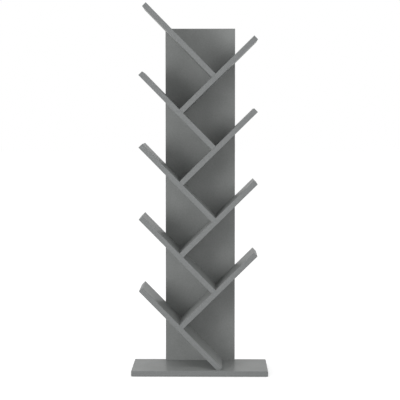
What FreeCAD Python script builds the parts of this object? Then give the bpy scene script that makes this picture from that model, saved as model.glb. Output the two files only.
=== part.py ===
import FreeCAD, Part
import math
import os

# Tree shaped bookshelf of grey faced board, made to stand against a wall.
# A base board lies on the floor and a trunk board stands on its back edge. Nine shelf boards lean
# left and right in front of the trunk. The lower end of each stands square on the upper face of
# the next one down, and the lowest, the foot shelf, stands on the base.
# Millimetres, +Z up, front towards -Y. The origin is on the floor under the middle of the base.

# Shelf boards
shelf_length = 380.0
top_shelf_length = 360.0     # the highest left shelf is a little shorter
shelf_depth = 200.0
shelf_thickness = 19.0
shelf_gap = 165.0            # clear space between two left shelves
shelf_lean_degrees = 45.5    # left shelves above the horizontal, right shelves lie square to them
shelf_pairs = 4              # each a left and a right shelf, above the foot shelf
foot_flat = 12.0             # flat sawn on the foot shelf's lower corner, where it meets the base
lowest_corner_height = 165.0  # inner corner of the lowest joint, above the base's top
corner_offset = -7.7         # middle of the left and right inner corners, from the trunk's middle

# Trunk board
trunk_width = 262.0
trunk_thickness = 19.0
trunk_rise = 175.0           # top of the trunk above the highest inner corner

# Base board, with its pads
base_width = 500.0
base_thickness = 20.0
base_front_margin = 21.0     # base in front of the shelves
pad_radius = 10.0
pad_height = 1.5
pad_inset = 25.0             # middle of a pad from the base's edges

# Edge banding, glued to every edge that shows and bevelled: thicker on the base, which gets knocked
band_thickness = 1.0
band_bevel = 0.6
base_band_thickness = 3.0
base_band_bevel = 2.2
bevel_limit_share = 0.9      # most of a band's thickness that its bevel may take
same_way_share = 0.5         # least cosine between two directions that count as the same

# Joint screws, with a countersunk head and a hex socket
screw_length = 50.0
screw_radius = 3.5
screw_head_radius = 5.0
screw_head_height = 3.0
screw_point_radius = 1.5
screw_point_length = 4.0
screw_recess = 0.3           # head below the board's surface
socket_across_flats = 4.0
socket_depth = 2.5
socket_sides = 6
screw_clearance = 0.1

# Wooden dowels
dowel_length = 30.0
dowel_radius = 4.0
dowel_chamfer = 1.0
dowel_face_depth = 10.0      # part of a dowel in the face of the board that it stands on
dowel_clearance = 0.1
fastener_sides = 12          # flats round a screw, a dowel and their holes

# Places of screws and dowels, as shares of the joints that they hold
shelf_screw_shares = (0.22, 0.85)
joint_screw_shares = (0.5,)
joint_dowel_shares = (0.25, 0.75)
trunk_screw_shares = (0.1, 0.5, 0.9)
trunk_dowel_shares = (0.3, 0.7)

overrun = 5.0                # how far a cut runs past the face that it opens

# Levels and depths that follow from the sizes above
base_depth = trunk_thickness + shelf_depth + base_front_margin
base_back = base_depth / 2
base_front = -base_back
base_top = pad_height + base_thickness
trunk_front = base_back - trunk_thickness
shelf_front = trunk_front - shelf_depth

# Directions of the boards, seen from the front: uphill along each kind of shelf.
# The two are square to each other, so each is also the normal of the other kind's upper face.
lean = math.radians(shelf_lean_degrees)
left_uphill = FreeCAD.Vector(-math.cos(lean), 0, math.sin(lean))
right_uphill = FreeCAD.Vector(math.sin(lean), 0, math.cos(lean))
sideways = FreeCAD.Vector(1, 0, 0)
backwards = FreeCAD.Vector(0, 1, 0)
upwards = FreeCAD.Vector(0, 0, 1)

# Steps from joint to joint along the shelves, which keep the zigzag upright
right_step = shelf_gap + shelf_thickness
left_step = right_step * math.tan(lean)


class Shelf:
    """A leaning board. Its corner is the lower end of its upper face, at depth zero."""

    def __init__(self, name, corner, uphill, normal, length):
        self.name = name
        self.corner = corner
        self.uphill = uphill
        self.normal = normal
        self.length = length

    def point(self, along, down, depth):
        """A point so far uphill from the corner, so far under the upper face, at a depth."""
        return self.corner + self.uphill * along - self.normal * down + backwards * depth

    def slab(self, low, high, front, back):
        """A slice of the board between two lengths along it and two depths."""
        outline = [
            self.point(low, 0, front),
            self.point(high, 0, front),
            self.point(high, shelf_thickness, front),
            self.point(low, shelf_thickness, front),
        ]
        face = Part.Face(Part.makePolygon(outline + outline[:1]))
        return face.extrude(backwards * (back - front))

    def length_on_trunk(self):
        """How far up the board its middle line leaves the trunk, at a side or at the top."""
        start = self.point(0, shelf_thickness / 2, 0)
        side = math.copysign(trunk_width / 2, self.uphill.x)
        return min((side - start.x) / self.uphill.x, (trunk_top - start.z) / self.uphill.z)


def zigzag():
    """The chain of shelves from the foot shelf up, and the joints where one stands on another."""
    half_width = right_step * right_uphill.x / 2
    corner = FreeCAD.Vector(corner_offset - half_width, 0, base_top + lowest_corner_height)

    # The foot shelf runs past the lowest corner, down to the base, to leave the flat on its end
    drop = (lowest_corner_height - shelf_thickness * right_uphill.z) / left_uphill.z
    below = drop + foot_flat * math.cos(lean)
    arm = shelf_length - left_step
    foot = Shelf("foot_shelf", corner - left_uphill * below, left_uphill, right_uphill, below + arm)

    shelves = [foot]
    joints = []
    under, along = foot, below
    for pair in range(shelf_pairs, 0, -1):
        right = Shelf(f"right_shelf_{pair}", corner, right_uphill, left_uphill, shelf_length)
        joints.append((under, along, right))
        corner = corner + right_uphill * right_step
        left_length = top_shelf_length if pair == 1 else shelf_length
        left = Shelf(f"left_shelf_{pair}", corner, left_uphill, right_uphill, left_length)
        joints.append((right, right_step, left))
        highest_corner = corner
        corner = corner + left_uphill * left_step
        shelves += [right, left]
        under, along = left, left_step
    return shelves, joints, highest_corner.z


def faceted(profile, sides):
    """A many-sided solid about Z with flat ends, from the radius and height of each of its rings."""
    turns = [2 * math.pi * side / sides for side in range(sides)]
    rings = []
    for radius, height in profile:
        rings.append([FreeCAD.Vector(radius * math.cos(a), radius * math.sin(a), height) for a in turns])
    outlines = [rings[0], rings[-1]]
    for low, high in zip(rings, rings[1:]):
        for side in range(sides):
            after = (side + 1) % sides
            outlines.append([low[side], low[after], high[after], high[side]])
    faces = [Part.Face(Part.makePolygon(outline + outline[:1])) for outline in outlines]
    return Part.makeSolid(Part.makeShell(faces))


def joint_screw():
    """A joint screw along +Z, with the board's surface at zero."""
    body = faceted([
        (screw_head_radius, screw_recess),
        (screw_radius, screw_recess + screw_head_height),
        (screw_radius, screw_length - screw_point_length),
        (screw_point_radius, screw_length),
    ], fastener_sides)
    across_corners = socket_across_flats / math.cos(math.pi / socket_sides)
    floor = screw_recess + socket_depth
    return body.cut(faceted([(across_corners / 2, 0), (across_corners / 2, floor)], socket_sides))


def screw_hole():
    """The countersunk hole that a joint screw needs, along +Z from the board's surface."""
    head = screw_head_radius + screw_clearance
    shank = screw_radius + screw_clearance
    return faceted([
        (head, -overrun),
        (head, screw_recess),
        (shank, screw_recess + screw_head_height),
        (shank, screw_length + screw_clearance),
    ], fastener_sides)


def dowel():
    """A chamfered dowel along +Z, with the joint between the two boards at zero."""
    low = -dowel_face_depth
    high = low + dowel_length
    neck = dowel_radius - dowel_chamfer
    return faceted([
        (neck, low),
        (dowel_radius, low + dowel_chamfer),
        (dowel_radius, high - dowel_chamfer),
        (neck, high),
    ], fastener_sides)


def dowel_hole():
    """The hole for a dowel along +Z, in both boards of its joint."""
    radius = dowel_radius + dowel_clearance
    low = -dowel_face_depth - dowel_clearance
    high = dowel_length - dowel_face_depth + dowel_clearance
    return faceted([(radius, low), (radius, high)], fastener_sides)


def put(shape, places):
    """Copies of a shape made along +Z, one at each place, which is a point and a direction."""
    copies = []
    for point, direction in places:
        copy = shape.copy()
        copy.Placement = FreeCAD.Placement(point, FreeCAD.Rotation(upwards, direction))
        copies.append(copy)
    return copies


def shelf_screw_places(shelves):
    """Where screws go in from the trunk's back face, forwards into the shelves' back edges."""
    places = []
    for shelf in shelves:
        reach = shelf.length_on_trunk()
        for share in shelf_screw_shares:
            point = shelf.point(reach * share, shelf_thickness / 2, base_back)
            places.append((point, -backwards))
    return places


def joint_places(joints, shares, down):
    """Places across the depth of each shelf joint, so far under the lower board's upper face."""
    places = []
    for under, along, over in joints:
        for share in shares:
            depth = shelf_front + shelf_depth * share
            point = under.point(along - shelf_thickness / 2, down, depth)
            places.append((point, over.uphill))
    return places


def trunk_places(shares, level):
    """Places along the trunk's lower end, at a level, pointing up into it."""
    middle = trunk_front + trunk_thickness / 2
    left = -trunk_width / 2
    return [(FreeCAD.Vector(left + trunk_width * share, middle, level), upwards) for share in shares]


def drilled(shape, holes):
    """The shape with every hole that comes near it cut out."""
    near = [hole for hole in holes if hole.BoundBox.intersect(shape.BoundBox)]
    return shape.cut(near) if near else shape


def bevelled(strip, outward, joined=()):
    """A strip of banding with the edges of its outer face bevelled, but not on the joined sides."""
    face = max(strip.Faces, key=lambda each: each.CenterOfMass.dot(outward))
    bevel = min(band_bevel, band_thickness * bevel_limit_share)
    edges = []
    for edge in face.Edges:
        side = (edge.CenterOfMass - face.CenterOfMass).normalize()
        if all(side.dot(way) < same_way_share for way in joined):
            edges.append(edge)
    return strip.makeChamfer(bevel, edges)


def box(low, high):
    """An upright block between two opposite corners."""
    size = FreeCAD.Vector(*high) - FreeCAD.Vector(*low)
    return Part.makeBox(size.x, size.y, size.z, FreeCAD.Vector(*low))


def shelf_board(shelf, holes):
    """The faced board of a shelf, and the strips of banding on its edges and its ends that show."""
    band = band_thickness
    stands_on_base = shelf.name == "foot_shelf"
    low = band if stands_on_base else 0
    high = shelf.length - band
    back = trunk_front
    inner_front = shelf_front + band
    inner_back = back - band

    board = shelf.slab(low, high, inner_front, inner_back)
    downhill = -shelf.uphill
    tip = shelf.slab(high, shelf.length, inner_front, inner_back)
    strips = [
        bevelled(shelf.slab(0, shelf.length, shelf_front, inner_front), -backwards, [downhill]),
        bevelled(shelf.slab(0, shelf.length, inner_back, back), backwards, [downhill]),
        bevelled(tip, shelf.uphill, [backwards, -backwards]),
    ]
    if stands_on_base:
        strips.append(shelf.slab(0, low, inner_front, inner_back))
        reach = shelf.length
        below_top = box((-reach, shelf_front - overrun, base_top - reach),
                        (reach, back + overrun, base_top))
        board = board.cut(below_top)
        strips = [strip.cut(below_top) for strip in strips]
    return drilled(board, holes), [drilled(strip, holes) for strip in strips]


def trunk_board(holes):
    """The upright board, and the banding on its two sides and its top."""
    band = band_thickness
    side = trunk_width / 2
    inner = side - band
    under_top = trunk_top - band
    board = box((-inner, trunk_front, base_top), (inner, base_back, under_top))
    left = box((-side, trunk_front, base_top), (-inner, base_back, trunk_top))
    right = box((inner, trunk_front, base_top), (side, base_back, trunk_top))
    top = box((-inner, trunk_front, under_top), (inner, base_back, trunk_top))
    strips = [
        bevelled(left, -sideways, [-upwards]),
        bevelled(right, sideways, [-upwards]),
        bevelled(top, upwards, [sideways, -sideways]),
    ]
    return drilled(board, holes), strips


def base_board(holes):
    """The board on the floor, and the banding on its four edges, bevelled except along the wall."""
    band = base_band_thickness
    side = base_width / 2
    inner = side - band
    inner_front = base_front + band
    inner_back = base_back - band
    board = box((-inner, inner_front, pad_height), (inner, inner_back, base_top))
    whole = box((-side, base_front, pad_height), (side, base_back, base_top))
    free_edges = [edge for edge in whole.Edges if edge.CenterOfMass.y < inner_back]
    bevel = min(base_band_bevel, band * bevel_limit_share)
    trimmed = whole.makeChamfer(bevel, free_edges)
    front = box((-side, base_front, pad_height), (side, inner_front, base_top))
    back = box((-side, inner_back, pad_height), (side, base_back, base_top))
    left = box((-side, inner_front, pad_height), (-inner, inner_back, base_top))
    right = box((inner, inner_front, pad_height), (side, inner_back, base_top))
    strips = [trimmed.common(strip).Solids[0] for strip in (front, back, left, right)]
    return drilled(board, holes), strips


def foot_pads():
    """Round pads stuck under the corners of the base."""
    across = base_width / 2 - pad_inset
    deep = base_depth / 2 - pad_inset
    places = [FreeCAD.Vector(x, y, 0) for x in (-across, across) for y in (-deep, deep)]
    return [Part.makeCylinder(pad_radius, pad_height, place) for place in places]


def save(name, solids):
    """Write one sub-part, of one solid or of several like ones."""
    shape = solids[0] if len(solids) == 1 else Part.makeCompound(solids)
    shape.exportStep(os.path.join("parts", name + ".step"))


os.makedirs("parts", exist_ok=True)
shelves, joints, highest_corner = zigzag()
trunk_top = highest_corner + trunk_rise

at_shelf_screws = shelf_screw_places(shelves)
at_joint_screws = joint_places(joints, joint_screw_shares, shelf_thickness)
at_joint_dowels = joint_places(joints, joint_dowel_shares, 0)
at_trunk_screws = trunk_places(trunk_screw_shares, pad_height)
at_trunk_dowels = trunk_places(trunk_dowel_shares, base_top)

screw_places = at_shelf_screws + at_joint_screws + at_trunk_screws
dowel_places = at_joint_dowels + at_trunk_dowels
holes = put(screw_hole(), screw_places) + put(dowel_hole(), dowel_places)

board, banding = base_board(holes)
save("base_board", [board])
save("base_banding", banding)
board, banding = trunk_board(holes)
save("trunk_board", [board])
save("trunk_banding", banding)
for shelf in shelves:
    board, banding = shelf_board(shelf, holes)
    save(shelf.name, [board])
    save(shelf.name + "_banding", banding)
save("shelf_screws", put(joint_screw(), at_shelf_screws))
save("joint_screws", put(joint_screw(), at_joint_screws))
save("trunk_screws", put(joint_screw(), at_trunk_screws))
save("joint_dowels", put(dowel(), at_joint_dowels))
save("trunk_dowels", put(dowel(), at_trunk_dowels))
save("foot_pads", foot_pads())
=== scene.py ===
from math import atan2, cos, pi, radians
import bmesh
import bpy
import numpy as np
from mathutils import Matrix, Vector


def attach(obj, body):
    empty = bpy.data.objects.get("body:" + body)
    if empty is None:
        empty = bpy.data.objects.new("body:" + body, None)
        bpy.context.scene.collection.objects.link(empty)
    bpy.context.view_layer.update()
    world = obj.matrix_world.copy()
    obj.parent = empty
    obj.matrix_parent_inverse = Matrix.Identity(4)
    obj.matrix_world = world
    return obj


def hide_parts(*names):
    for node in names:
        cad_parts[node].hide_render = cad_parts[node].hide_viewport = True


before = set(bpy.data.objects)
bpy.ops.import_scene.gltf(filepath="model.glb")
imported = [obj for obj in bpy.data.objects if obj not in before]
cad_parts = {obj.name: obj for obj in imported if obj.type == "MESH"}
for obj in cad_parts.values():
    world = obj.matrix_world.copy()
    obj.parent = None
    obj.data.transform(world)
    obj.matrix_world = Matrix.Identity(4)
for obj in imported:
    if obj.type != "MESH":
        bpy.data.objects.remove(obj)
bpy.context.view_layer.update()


# Base board
# A flat board of faced particle board that lies on the floor and carries the trunk on its back edge.
# Its faces are melamine: paper dyed one mid grey, soaked in resin and pressed with a fine pearl grain.
# The resin sets to a thin clear skin, in which the trunk is softly mirrored.

def linear(hex_colour):
    """A linear RGBA colour from an sRGB hex value."""
    shares = [int(hex_colour[at:at + 2], 16) / 255 for at in (1, 3, 5)]
    return [s / 12.92 if s <= 0.04045 else ((s + 0.055) / 1.055) ** 2.4 for s in shares] + [1.0]


def add_node(tree, kind, sockets, **settings):
    """Add a shader node with its settings. A socket gets a value, or a link if it is given an output."""
    node = tree.nodes.new("ShaderNode" + kind)
    for name, value in settings.items():
        setattr(node, name, value)
    for name, value in sockets.items():
        if isinstance(value, bpy.types.NodeSocket):
            tree.links.new(value, node.inputs[name])
        else:
            node.inputs[name].default_value = value
    return node


def satin_melamine():
    """Satin melamine: an even grey, faintly cloudy and pearled, dull under the faint shine of its skin."""
    cloud_size = 0.120
    grain_size = 0.006        # the real pearls are 0.5 mm, drawn twelve times coarser so that they show
    grain_height = 0.00002
    grain_share = 0.6         # of the cloud's strength in the tone
    material = bpy.data.materials.new("satin_melamine")
    material.use_nodes = True
    tree = material.node_tree
    shader = tree.nodes["Principled BSDF"]
    place = add_node(tree, "TexCoord", {}).outputs["Object"]
    cloud = add_node(tree, "TexNoise", {"Vector": place, "Scale": 1 / cloud_size, "Detail": 3.0})
    grain = add_node(tree, "TexNoise", {"Vector": place, "Scale": 1 / grain_size, "Detail": 2.0})
    both = add_node(tree, "Math", {0: grain.outputs["Fac"], 1: grain_share, 2: cloud.outputs["Fac"]},
                    operation="MULTIPLY_ADD")
    tone = add_node(tree, "ValToRGB", {"Fac": both.outputs[0]})
    tone.color_ramp.elements[0].position = 0.6
    tone.color_ramp.elements[0].color = linear("#838584")
    tone.color_ramp.elements[1].position = 1.0
    tone.color_ramp.elements[1].color = linear("#8D8F8E")
    gloss = add_node(tree, "MapRange", {"Value": grain.outputs["Fac"], "To Min": 0.46, "To Max": 0.58})
    relief = add_node(tree, "Bump", {"Height": grain.outputs["Fac"], "Strength": 0.5,
                                     "Distance": grain_height})
    tree.links.new(tone.outputs["Color"], shader.inputs["Base Color"])
    tree.links.new(gloss.outputs["Result"], shader.inputs["Roughness"])
    tree.links.new(relief.outputs["Normal"], shader.inputs["Normal"])
    shader.inputs["IOR"].default_value = 1.45
    shader.inputs["Specular IOR Level"].default_value = 0.05      # the paper is dull, its skin shines
    shader.inputs["Coat Weight"].default_value = 0.22
    shader.inputs["Coat Roughness"].default_value = 0.2
    return material


def give_finish(node_name, material):
    """Give a CAD piece its finish."""
    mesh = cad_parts[node_name].data
    mesh.materials.clear()
    mesh.materials.append(material)


melamine = satin_melamine()
give_finish("base_board", melamine)


# Base banding
# Strips of thick grey ABS glued round the base board's four edges, with their free edges bevelled.
# The strip is extruded and left satin, a touch smoother than the pressed face of the board.

def satin_abs():
    """Satin ABS strip: a shade deeper than the board, mottled where the extruder's roller pressed it."""
    mottle_size = 0.005       # the real mottle is 1 mm, drawn five times coarser so that it shows
    mottle_height = 0.00002
    material = bpy.data.materials.new("satin_abs_banding")
    material.use_nodes = True
    tree = material.node_tree
    shader = tree.nodes["Principled BSDF"]
    place = add_node(tree, "TexCoord", {}).outputs["Object"]
    mottle = add_node(tree, "TexNoise", {"Vector": place, "Scale": 1 / mottle_size, "Detail": 3.0})
    tone = add_node(tree, "ValToRGB", {"Fac": mottle.outputs["Fac"]})
    tone.color_ramp.elements[0].position = 0.3
    tone.color_ramp.elements[0].color = linear("#6F7171")
    tone.color_ramp.elements[1].position = 0.7
    tone.color_ramp.elements[1].color = linear("#7A7C7C")
    gloss = add_node(tree, "MapRange", {"Value": mottle.outputs["Fac"], "To Min": 0.44, "To Max": 0.52})
    relief = add_node(tree, "Bump", {"Height": mottle.outputs["Fac"], "Strength": 0.5,
                                     "Distance": mottle_height})
    tree.links.new(tone.outputs["Color"], shader.inputs["Base Color"])
    tree.links.new(gloss.outputs["Result"], shader.inputs["Roughness"])
    tree.links.new(relief.outputs["Normal"], shader.inputs["Normal"])
    shader.inputs["IOR"].default_value = 1.45
    return material


banding = satin_abs()
give_finish("base_banding", banding)


# Foot pads
# Four round pads punched from a sheet of black EVA foam and stuck under the corners of the base.
# The weight of the shelf flattens them a little, so their sides swell out.

def solids_of(node_name):
    """The separate solids of a CAD node, each as an array of its corner points."""
    weld_reach = 0.00001
    shape = bmesh.new()
    shape.from_mesh(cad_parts[node_name].data)
    bmesh.ops.remove_doubles(shape, verts=shape.verts, dist=weld_reach)
    reached = set()
    solids = []
    for start in shape.verts:
        if start in reached:
            continue
        reached.add(start)
        joined = [start]
        for vert in joined:
            for edge in vert.link_edges:
                other = edge.other_vert(vert)
                if other not in reached:
                    reached.add(other)
                    joined.append(other)
        solids.append(np.array([vert.co for vert in joined]))
    shape.free()
    return solids


def turned(profile, steps):
    """A closed shape about Z, spun from a profile of radii and heights that starts and ends on the axis."""
    weld_reach = 0.000001
    shape = bmesh.new()
    points = [shape.verts.new((radius, 0, height)) for radius, height in profile]
    edges = [shape.edges.new(pair) for pair in zip(points, points[1:])]
    bmesh.ops.spin(shape, geom=points + edges, axis=(0, 0, 1), angle=2 * pi, steps=steps, use_merge=True)
    bmesh.ops.remove_doubles(shape, verts=shape.verts, dist=weld_reach)
    bmesh.ops.recalc_face_normals(shape, faces=shape.faces)
    return shape


def dress(node_name, shape, places, material):
    """Stand copies of a shape for a CAD node, each with its own coordinates, and use up the shape."""
    pattern_stride = 0.1      # between one copy's own coordinates and the next's, so that no two are alike
    crease = radians(40)
    mesh = bpy.data.meshes.new(node_name + "_dressed")
    whole = bmesh.new()
    for number, place in enumerate(places):
        copy = shape.copy()
        own_place = copy.verts.layers.float_vector.new("own_place")
        for vert in copy.verts:
            vert[own_place] = vert.co + Vector((0, 0, pattern_stride * number))
        copy.transform(place)
        copy.to_mesh(mesh)
        whole.from_mesh(mesh)
        copy.free()
    whole.to_mesh(mesh)
    whole.free()
    shape.free()
    mesh.shade_smooth()
    mesh.set_sharp_from_angle(angle=crease)
    mesh.materials.append(material)
    piece = bpy.data.objects.new(node_name + "_dressed", mesh)
    bpy.context.collection.objects.link(piece)
    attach(piece, "root")
    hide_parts(node_name)
    return piece


def eva_foam():
    """EVA foam: nearly black and dull, with fine closed cells that catch a little light."""
    cell_size = 0.0008        # the real cells are 0.2 mm, drawn four times coarser so that they show
    cell_height = 0.0001
    material = bpy.data.materials.new("eva_foam")
    material.use_nodes = True
    tree = material.node_tree
    shader = tree.nodes["Principled BSDF"]
    place = add_node(tree, "TexCoord", {}).outputs["Object"]
    cells = add_node(tree, "TexVoronoi", {"Vector": place, "Scale": 1 / cell_size})
    tone = add_node(tree, "ValToRGB", {"Fac": cells.outputs["Distance"]})
    tone.color_ramp.elements[0].color = linear("#19191A")
    tone.color_ramp.elements[1].color = linear("#2A2A2B")
    relief = add_node(tree, "Bump", {"Height": cells.outputs["Distance"], "Distance": cell_height})
    tree.links.new(tone.outputs["Color"], shader.inputs["Base Color"])
    tree.links.new(relief.outputs["Normal"], shader.inputs["Normal"])
    shader.inputs["Roughness"].default_value = 0.9
    return material


pad_swell = 0.0003
pad_swell_shares = (0.2, 0.45, 0.8)      # of the height, where the side starts to swell, is widest and ends
pad_steps = 48
pad_solids = solids_of("foot_pads")
pad_radius = np.ptp(pad_solids[0][:, 0]) / 2
pad_height = np.ptp(pad_solids[0][:, 2])
pad_low, pad_wide, pad_high = [pad_height * share for share in pad_swell_shares]
pad = turned([
    (0, 0),
    (pad_radius - 2 * pad_swell, 0),
    (pad_radius - pad_swell / 2, pad_low),
    (pad_radius, pad_wide),
    (pad_radius - pad_swell / 2, pad_high),
    (pad_radius - pad_swell, pad_height),
    (0, pad_height),
], pad_steps)
pad_places = []
for points in pad_solids:
    lowest = points.min(axis=0)
    highest = points.max(axis=0)
    across, deep = (lowest + highest)[:2] / 2
    pad_places.append(Matrix.Translation((across, deep, lowest[2])))
foot_pads = dress("foot_pads", pad, pad_places, eva_foam())


# Trunk board and its banding
# The upright board at the back, of the same faced particle board, which every shelf is screwed to.
# Thin ABS banding covers its two sides and its top.

give_finish("trunk_board", melamine)
give_finish("trunk_banding", banding)


# Shelves and their banding
# Nine leaning boards of the same make, each standing square on the next one down, and the foot shelf
# on the base. Thin ABS banding covers their long edges, their upper ends and the foot shelf's lower end.

shelves_a_side = 4         # besides the foot shelf
shelf_names = ["foot_shelf"]
for number in range(1, shelves_a_side + 1):
    shelf_names += [f"left_shelf_{number}", f"right_shelf_{number}"]
for name in shelf_names:
    give_finish(name, melamine)
    give_finish(name + "_banding", banding)


# Dowels
# Fluted pins of beech, turned from rod and pressed with straight grooves that let the glue spread.
# Two lie in each joint between shelves, and two between the base and the trunk.

def straight_runs(node_name):
    """Places of a CAD node's long solids, and their length. A place has the thicker end at its origin."""
    thicker_by = 0.0001
    places = []
    for points in solids_of(node_name):
        middle = points.mean(axis=0)
        way = np.linalg.svd(points - middle)[2][0]
        along = (points - middle) @ way
        apart = np.linalg.norm(points - middle - np.outer(along, way), axis=1)
        if apart[along > 0].max() > apart[along < 0].max() + thicker_by:
            way, along = -way, -along
        turn = Vector(way).to_track_quat("Z", "Y").to_matrix().to_4x4()
        places.append(Matrix.Translation(middle + way * along.min()) @ turn)
        length = np.ptp(along)
    return places, length


def turned_beech():
    """Bare beech: a pale warm wood, with fine long grain and short darker flecks."""
    grain_width = 0.0008
    grain_length = 0.020
    grain_height = 0.0001
    fleck_width = 0.0005
    fleck_length = 0.003
    material = bpy.data.materials.new("turned_beech")
    material.use_nodes = True
    tree = material.node_tree
    shader = tree.nodes["Principled BSDF"]
    own = add_node(tree, "Attribute", {}, attribute_name="own_place").outputs["Vector"]
    grain_scale = (1 / grain_width, 1 / grain_width, 1 / grain_length)
    fleck_scale = (1 / fleck_width, 1 / fleck_width, 1 / fleck_length)
    drawn = add_node(tree, "Mapping", {"Vector": own, "Scale": grain_scale}).outputs["Vector"]
    grain = add_node(tree, "TexNoise", {"Vector": drawn, "Scale": 1.0, "Detail": 3.0})
    drawn = add_node(tree, "Mapping", {"Vector": own, "Scale": fleck_scale}).outputs["Vector"]
    fleck = add_node(tree, "TexNoise", {"Vector": drawn, "Scale": 1.0, "Detail": 0.0})
    shade = add_node(tree, "MapRange", {"Value": fleck.outputs["Fac"], "From Min": 0.62, "From Max": 0.72})
    tone = add_node(tree, "ValToRGB", {"Fac": grain.outputs["Fac"]})
    tone.color_ramp.elements[0].position = 0.3
    tone.color_ramp.elements[0].color = linear("#C9A273")
    tone.color_ramp.elements[1].position = 0.7
    tone.color_ramp.elements[1].color = linear("#DDBB8E")
    wood = add_node(tree, "MixRGB", {"Fac": shade.outputs["Result"], "Color1": tone.outputs["Color"],
                                     "Color2": linear("#A67C50")})
    relief = add_node(tree, "Bump", {"Height": grain.outputs["Fac"], "Strength": 0.4,
                                     "Distance": grain_height})
    tree.links.new(wood.outputs["Color"], shader.inputs["Base Color"])
    tree.links.new(relief.outputs["Normal"], shader.inputs["Normal"])
    shader.inputs["Roughness"].default_value = 0.68
    return material


dowel_radius = 0.00385     # just inside the flats of the CAD dowel
dowel_chamfer = 0.001
flutes = 12
flute_depth = 0.0003
flute_narrowing = 3        # the power that makes the grooves narrower than the ridges between them
steps_a_flute = 4
beech = turned_beech()
for name in ("trunk_dowels", "joint_dowels"):
    dowel_places, dowel_length = straight_runs(name)
    dowel = turned([
        (0, 0),
        (dowel_radius - dowel_chamfer, 0),
        (dowel_radius, dowel_chamfer),
        (dowel_radius, dowel_length - dowel_chamfer),
        (dowel_radius - dowel_chamfer, dowel_length),
        (0, dowel_length),
    ], steps_a_flute * flutes)
    for vert in dowel.verts:
        if vert.co.xy.length > dowel_radius - flute_depth:
            groove = (0.5 + 0.5 * cos(flutes * atan2(vert.co.y, vert.co.x))) ** flute_narrowing
            vert.co.xy *= 1 - groove * flute_depth / dowel_radius
    dress(name, dowel, dowel_places, beech)


# Screws
# Joint screws of zinc plated steel: a countersunk head with a hex socket, a plain neck, and a coarse
# thread rolled for particle board. They hold the trunk on the base, and the shelves on the trunk and on
# each other.

def zinc_plate():
    """Bright zinc plate on steel: a cool grey metal, with the cloudy gloss of a tumbled and dipped part."""
    bloom_size = 0.003
    material = bpy.data.materials.new("zinc_plate")
    material.use_nodes = True
    tree = material.node_tree
    shader = tree.nodes["Principled BSDF"]
    own = add_node(tree, "Attribute", {}, attribute_name="own_place").outputs["Vector"]
    bloom = add_node(tree, "TexNoise", {"Vector": own, "Scale": 1 / bloom_size, "Detail": 4.0})
    tone = add_node(tree, "ValToRGB", {"Fac": bloom.outputs["Fac"]})
    tone.color_ramp.elements[0].position = 0.3
    tone.color_ramp.elements[0].color = linear("#A9ADB0")
    tone.color_ramp.elements[1].position = 0.7
    tone.color_ramp.elements[1].color = linear("#C2C5C7")
    gloss = add_node(tree, "MapRange", {"Value": bloom.outputs["Fac"], "To Min": 0.24, "To Max": 0.44})
    tree.links.new(tone.outputs["Color"], shader.inputs["Base Color"])
    tree.links.new(gloss.outputs["Result"], shader.inputs["Roughness"])
    shader.inputs["Metallic"].default_value = 1.0
    return material


def joint_screw(length):
    """A joint screw along Z, with the top of its head at zero."""
    head_radius = 0.0048
    head_rim = 0.0003
    head_height = 0.003
    socket_sides = 6
    socket_reach = 0.002      # from the middle to a flat of the socket
    socket_depth = 0.0024
    neck_radius = 0.0033
    neck_end = 0.012
    core_radius = 0.0024
    thread_radius = 0.0033
    thread_pitch = 0.003
    ridge_share = 0.3         # half of the ridge's foot, of the pitch
    point_radius = 0.0014
    point_length = 0.004
    steps = 24
    rows_per_turn = 8
    near = 0.0003             # a point this near to a radius counts as on it
    thread_end = length - point_length
    rows = round((thread_end - neck_end) / thread_pitch * rows_per_turn)
    heights = [neck_end + (thread_end - neck_end) * row / rows for row in range(rows + 1)]
    shape = turned([
        (0, socket_depth),
        (socket_reach, socket_depth),
        (socket_reach, 0),
        (head_radius - head_rim, 0),
        (head_radius, head_rim),
        (neck_radius, head_height),
        (neck_radius, neck_end - head_rim),
        *[(core_radius, height) for height in heights],
        (point_radius, length),
        (0, length),
    ], steps)
    side_angle = 2 * pi / socket_sides
    for vert in shape.verts:
        radius, height = vert.co.xy.length, vert.co.z
        angle = atan2(vert.co.y, vert.co.x) % (2 * pi)
        if abs(radius - socket_reach) < near and height < head_height:
            vert.co.xy /= cos(angle % side_angle - side_angle / 2)
        elif abs(radius - core_radius) < near:
            turn = ((height - neck_end) / thread_pitch - angle / (2 * pi)) % 1.0
            ridge = max(0.0, 1 - abs(turn - 0.5) / ridge_share)
            grown = min(1.0, (height - neck_end) / thread_pitch, (thread_end - height) / thread_pitch)
            vert.co.xy *= 1 + ridge * grown * (thread_radius / core_radius - 1)
    return shape


zinc = zinc_plate()
for name in ("trunk_screws", "joint_screws", "shelf_screws"):
    screw_places, screw_length = straight_runs(name)
    dress(name, joint_screw(screw_length), screw_places, zinc)


# Studio
# A pale floor under a white surround, lit by the surround and by two soft lamps in front: a low one on
# the left, and a weaker one, higher up, on the right.
# The camera stands where the photograph was taken from, a little above the middle of the shelves.

def background_rays(tree):
    """One for the rays that show the background: from the camera, off gloss or through glass. Else zero."""
    ray = add_node(tree, "LightPath", {}).outputs
    plain = add_node(tree, "Math", {0: ray["Is Camera Ray"], 1: ray["Is Glossy Ray"]},
                     operation="MAXIMUM")
    clear = add_node(tree, "Math", {0: plain.outputs[0], 1: ray["Is Transmission Ray"]},
                     operation="MAXIMUM")
    return clear.outputs[0]


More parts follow.
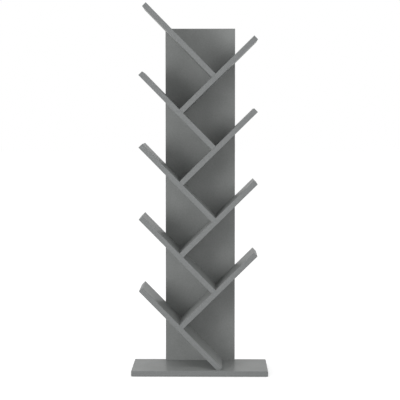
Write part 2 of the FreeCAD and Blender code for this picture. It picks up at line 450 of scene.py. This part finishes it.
floor_reach = 30.0
floor_gap = 0.0002         # a hair under the pads, so that the two don't flicker
floor_glow = 0.48          # lifts the seen floor to the white of the surround, and its shadows with it
floor_paint = bpy.data.materials.new("pale_studio_floor")
floor_paint.use_nodes = True
tree = floor_paint.node_tree
tree.nodes.clear()
seen = background_rays(tree)
matt = add_node(tree, "BsdfDiffuse", {"Color": linear("#ACACAC")})
white = add_node(tree, "Emission", {"Color": linear("#FFFFFF"), "Strength": floor_glow})
shadow = add_node(tree, "BsdfDiffuse", {"Color": linear("#E6E6E6")})
faint = add_node(tree, "AddShader", {0: white.outputs[0], 1: shadow.outputs[0]})
mixed = add_node(tree, "MixShader", {0: seen, 1: matt.outputs[0], 2: faint.outputs[0]})
add_node(tree, "OutputMaterial", {"Surface": mixed.outputs[0]})

shape = bmesh.new()
bmesh.ops.create_grid(shape, x_segments=1, y_segments=1, size=floor_reach,
                      matrix=Matrix.Translation((0, 0, -floor_gap)))
floor_mesh = bpy.data.meshes.new("studio_floor")
shape.to_mesh(floor_mesh)
shape.free()
floor = bpy.data.objects.new("studio_floor", floor_mesh)
floor_mesh.materials.append(floor_paint)
bpy.context.collection.objects.link(floor)

brightest_way = Vector((-0.45, 0.35, 0.48)).normalized()
brightest_glow = 0.95
dimmest_glow = 0.05        # on the far side of the surround
world = bpy.data.worlds.new("white_surround")
bpy.context.scene.world = world
world.use_nodes = True
tree = world.node_tree
tree.nodes.clear()
seen = background_rays(tree)
way = add_node(tree, "TexCoord", {}).outputs["Generated"]
nearness = add_node(tree, "VectorMath", {0: way, 1: brightest_way}, operation="DOT_PRODUCT")
glow = add_node(tree, "MapRange", {"Value": nearness.outputs["Value"], "From Min": -1.0,
                                   "To Min": dimmest_glow, "To Max": brightest_glow})
level = add_node(tree, "MapRange", {"Value": seen, "To Min": glow.outputs["Result"], "To Max": 1.0})
surround = add_node(tree, "Background", {"Color": linear("#FFFFFF"), "Strength": level.outputs["Result"]})
add_node(tree, "OutputWorld", {"Surface": surround.outputs[0]})


def aim(thing, eye, target):
    """Place a lamp or the camera at one point, looking at another."""
    thing.location = eye
    thing.rotation_euler = (Vector(target) - Vector(eye)).to_track_quat("-Z", "Y").to_euler()


lamp_size = 2.0
lamp_target = (0.0, 0.0, 0.685)
lamp_places = {"soft_key": (-2.24, -3.19, 0.7), "soft_fill": (2.24, -3.19, 2.1)}
lamp_powers = {"soft_key": 100.0, "soft_fill": 58.0}
for name, place in lamp_places.items():
    lamp = bpy.data.lights.new(name, "AREA")
    lamp.size = lamp_size
    lamp.energy = lamp_powers[name]
    softbox = bpy.data.objects.new(name, lamp)
    bpy.context.collection.objects.link(softbox)
    softbox.visible_glossy = False
    aim(softbox, place, lamp_target)

camera_place = (0.0605, -4.82, 0.948)
camera_target = (0.0002, 0.0, 0.6836)
camera_lens = bpy.data.cameras.new("photo_camera")
camera_lens.lens = 117.2
camera_lens.shift_y = -0.03
camera = bpy.data.objects.new("photo_camera", camera_lens)
bpy.context.collection.objects.link(camera)
aim(camera, camera_place, camera_target)
bpy.context.scene.camera = camera
bpy.context.scene.view_settings.view_transform = "Standard"
